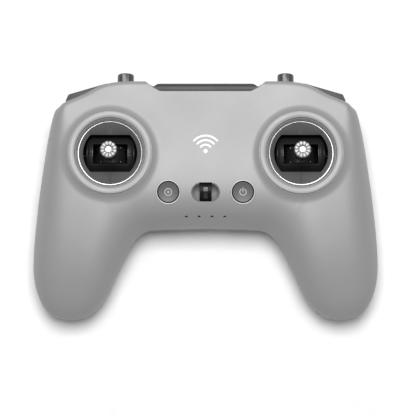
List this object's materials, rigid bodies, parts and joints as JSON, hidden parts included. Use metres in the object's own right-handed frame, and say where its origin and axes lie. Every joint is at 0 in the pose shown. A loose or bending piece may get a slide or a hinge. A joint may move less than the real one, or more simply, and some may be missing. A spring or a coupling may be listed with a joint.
{
  "type": "radio transmitter controller",
  "caption": "Handheld gamepad-style radio transmitter in grey plastic with gimbal sticks, toggles, shoulder buttons, a face row of buttons and a folding antenna.",
  "frame": {"origin": "centre of the bounding box at its foot, under the flat back that it lies on", "axes": "+Z out of the face and towards the stick tips, +Y from the grips to the antenna edge, +X to the right of someone holding it"},
  "size_m": [0.1896, 0.1356, 0.051],
  "materials": {
    "shell_grey": "fine satin moulded grey",
    "bezel_grey": "smooth light grey",
    "bright_metal": "polished and machined",
    "dark_plastic": "satin dark grey",
    "black_plastic": "satin black",
    "gloss_black": "polished black",
    "rubber_black": "matt",
    "steel": "plain",
    "board_green": "solder-masked board",
    "cell_sleeve": "shrink sleeve",
    "light_guide": "clear diffusing"
  },
  "bodies": {
    "housing": {"front_shell": "shell_grey", "rear_shell": "shell_grey", "left_stick_bezel": "bezel_grey", "right_stick_bezel": "bezel_grey", "lanyard_recess": "bezel_grey", "left_trim_ring": "bright_metal", "right_trim_ring": "bright_metal", "c1_button_ring": "bright_metal", "power_button_ring": "bright_metal", "left_gimbal_cover": "dark_plastic", "right_gimbal_cover": "dark_plastic", "left_gimbal_housing": "black_plastic", "right_gimbal_housing": "black_plastic", "antenna_cradle": "black_plastic", "left_toggle_housing": "black_plastic", "right_toggle_housing": "black_plastic", "left_shoulder_bracket": "black_plastic", "right_shoulder_bracket": "black_plastic", "dial_bracket": "black_plastic", "left_shoulder_switch": "black_plastic", "right_shoulder_switch": "black_plastic", "c1_button_switch": "black_plastic", "power_button_switch": "black_plastic", "buzzer": "black_plastic", "lanyard_bar": "gloss_black", "left_stick_holder": "rubber_black", "right_stick_holder": "rubber_black", "antenna_coax": "rubber_black", "left_battery_lead": "rubber_black", "right_battery_lead": "rubber_black", "usb_c_port": "steel", "rf_shield": "steel", "left_shoulder_pin": "steel", "right_shoulder_pin": "steel", "dial_axle": "steel", "left_upper_screw": "steel", "right_upper_screw": "steel", "left_middle_screw": "steel", "right_middle_screw": "steel", "left_lower_screw": "steel", "right_lower_screw": "steel", "main_board": "board_green", "usb_board": "board_green", "left_battery_cell": "cell_sleeve", "right_battery_cell": "cell_sleeve", "led_light_guide": "light_guide"},
    "left_gimbal_yoke": {"left_yoke": "black_plastic"},
    "right_gimbal_yoke": {"right_yoke": "black_plastic"},
    "left_stick_arm": {"left_rotor": "dark_plastic", "left_stick": "bright_metal"},
    "right_stick_arm": {"right_rotor": "dark_plastic", "right_stick": "bright_metal"},
    "c1_push": {"c1_button": "dark_plastic"},
    "power_push": {"power_button": "dark_plastic"},
    "left_shoulder_push": {"left_shoulder_button": "dark_plastic"},
    "right_shoulder_push": {"right_shoulder_button": "dark_plastic"},
    "left_toggle_lever": {"left_toggle": "dark_plastic"},
    "right_toggle_lever": {"right_toggle": "dark_plastic"},
    "dial_wheel": {"tilt_dial": "dark_plastic"},
    "antenna_panel": {"antenna": "dark_plastic"}
  },
  "joints": [
    {"name": "left_stick_pitch", "type": "hinge", "parent": "housing", "child": "left_gimbal_yoke", "pos_m": [-0.052, 0.0223, 0.021], "axis": [1, 0, 0], "range_deg": [-25, 25], "stiffness_Nm_per_rad": 0.08},
    {"name": "left_stick_roll", "type": "hinge", "parent": "left_gimbal_yoke", "child": "left_stick_arm", "pos_m": [-0.052, 0.0223, 0.021], "axis": [0, 1, 0], "range_deg": [-25, 25], "stiffness_Nm_per_rad": 0.06},
    {"name": "left_shoulder_press", "type": "hinge", "parent": "housing", "child": "left_shoulder_push", "pos_m": [-0.05405, 0.05494, 0.0246], "axis": [0, 0, 1], "range_deg": [0, 3], "stiffness_Nm_per_rad": 0.3},
    {"name": "left_toggle_tilt", "type": "hinge", "parent": "housing", "child": "left_toggle_lever", "pos_m": [-0.0441, 0.054, 0.025], "axis": [1, 0, 0], "range_deg": [-12, 12]},
    {"name": "right_stick_pitch", "type": "hinge", "parent": "housing", "child": "right_gimbal_yoke", "pos_m": [0.052, 0.0223, 0.021], "axis": [1, 0, 0], "range_deg": [-25, 25], "stiffness_Nm_per_rad": 0.08},
    {"name": "right_stick_roll", "type": "hinge", "parent": "right_gimbal_yoke", "child": "right_stick_arm", "pos_m": [0.052, 0.0223, 0.021], "axis": [0, 1, 0], "range_deg": [-25, 25], "stiffness_Nm_per_rad": 0.06},
    {"name": "right_shoulder_press", "type": "hinge", "parent": "housing", "child": "right_shoulder_push", "pos_m": [0.05405, 0.05494, 0.0246], "axis": [0, 0, -1], "range_deg": [0, 3], "stiffness_Nm_per_rad": 0.3},
    {"name": "right_toggle_tilt", "type": "hinge", "parent": "housing", "child": "right_toggle_lever", "pos_m": [0.0441, 0.054, 0.025], "axis": [1, 0, 0], "range_deg": [-12, 12]},
    {"name": "c1_button_press", "type": "slide", "parent": "housing", "child": "c1_push", "axis": [0, 0.1661, -0.9861], "range_m": [0, 0.0006], "stiffness_N_per_m": 800},
    {"name": "power_button_press", "type": "slide", "parent": "housing", "child": "power_push", "axis": [0, 0.1661, -0.9861], "range_m": [0, 0.0006], "stiffness_N_per_m": 800},
    {"name": "tilt_dial_turn", "type": "hinge", "parent": "housing", "child": "dial_wheel", "pos_m": [-0.06236, 0.05199, 0.0093], "axis": [0.9218, 0.3877, 0], "range_deg": [-30, 30], "stiffness_Nm_per_rad": 0.01},
    {"name": "antenna_fold", "type": "hinge", "parent": "housing", "child": "antenna_panel", "pos_m": [0, 0.0589, 0.0299], "axis": [1, 0, 0], "range_deg": [0, 90]}
  ]
}
